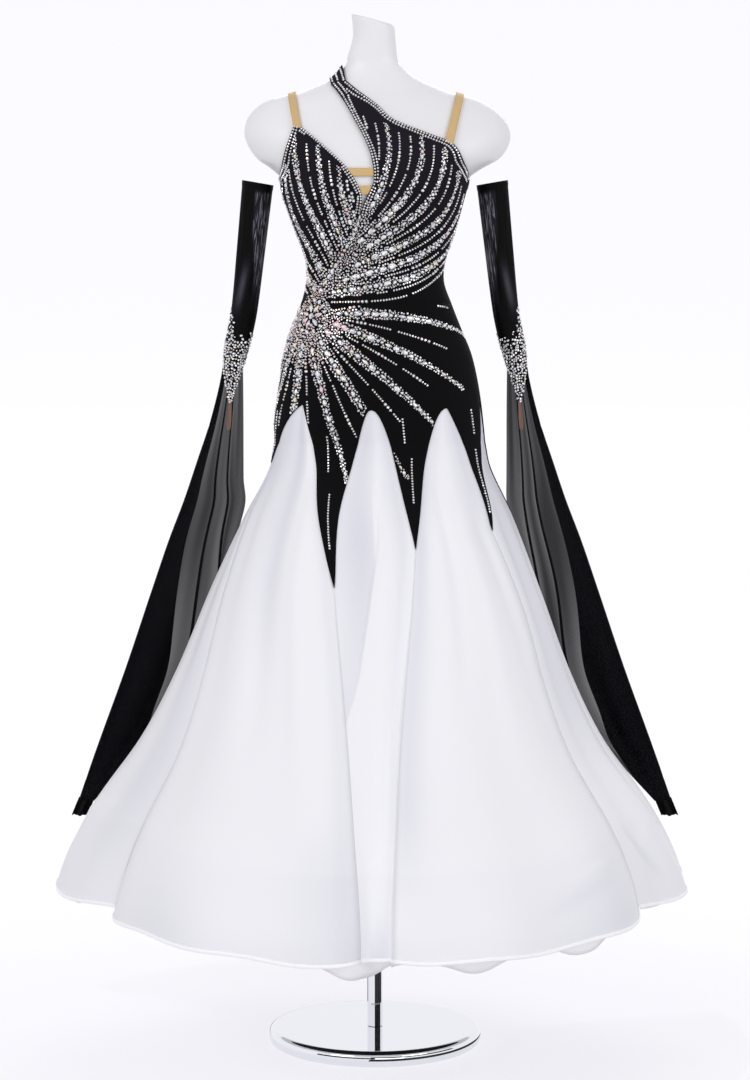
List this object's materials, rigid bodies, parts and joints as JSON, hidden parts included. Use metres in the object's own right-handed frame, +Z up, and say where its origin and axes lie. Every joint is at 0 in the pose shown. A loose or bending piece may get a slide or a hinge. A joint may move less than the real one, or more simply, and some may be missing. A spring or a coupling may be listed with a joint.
{
  "type": "ballroom dance dress on a limbless dress form",
  "caption": "Ballroom dance dress: black one-shoulder halter bodice and pointed hip yoke over a flared white skirt, detached sleeves with floats, worn by a limbless form on a stand.",
  "frame": {"origin": "centre of the stand base's underside, on the axis of the stand's tube", "axes": "+Z up, the dress's front faces -Y, its own right side, the viewer's left, is -X"},
  "size_m": [1.0006, 0.9786, 1.626],
  "materials": {
    "black_velvet": "matt stretch velvet",
    "white_satin": "soft satin organza",
    "crin_mesh": "stiff crin hem braid",
    "black_mesh": "sheer stretch mesh",
    "black_chiffon": "sheer chiffon",
    "nude_elastic": "flat nude elastic",
    "form_white": "gloss white fibreglass",
    "crystal": "foiled crystal stones",
    "chrome": "polished plating"
  },
  "bodies": {
    "root": {"bodice_cup": "black_velvet", "bodice_wrap": "black_velvet", "bodice_back_left": "black_velvet", "bodice_back_right": "black_velvet", "halter_strap": "black_velvet", "hip_yoke_front": "black_velvet", "hip_yoke_back": "black_velvet", "skirt_gore_1": "white_satin", "skirt_gore_2": "white_satin", "skirt_gore_3": "white_satin", "skirt_gore_4": "white_satin", "skirt_gore_5": "white_satin", "skirt_gore_6": "white_satin", "skirt_gore_7": "white_satin", "skirt_gore_8": "white_satin", "under_flounce_1": "white_satin", "under_flounce_2": "white_satin", "under_flounce_3": "white_satin", "under_flounce_4": "white_satin", "hem_band_1": "crin_mesh", "hem_band_2": "crin_mesh", "hem_band_3": "crin_mesh", "hem_band_4": "crin_mesh", "hem_band_5": "crin_mesh", "hem_band_6": "crin_mesh", "hem_band_7": "crin_mesh", "hem_band_8": "crin_mesh", "sleeve_left_tube": "black_mesh", "sleeve_left_cuff": "black_mesh", "sleeve_right_tube": "black_mesh", "sleeve_right_cuff": "black_mesh", "sleeve_left_float": "black_chiffon", "sleeve_left_tail": "black_chiffon", "sleeve_right_float": "black_chiffon", "sleeve_right_tail": "black_chiffon", "keyhole_bar_upper": "nude_elastic", "keyhole_bar_lower": "nude_elastic", "shoulder_strap_left": "nude_elastic", "shoulder_strap_right": "nude_elastic", "sleeve_left_finger_loop": "nude_elastic", "sleeve_right_finger_loop": "nude_elastic", "form_torso": "form_white", "stand_flange": "chrome", "stand_pole": "chrome", "stand_base": "chrome"}
  },
  "joints": []
}
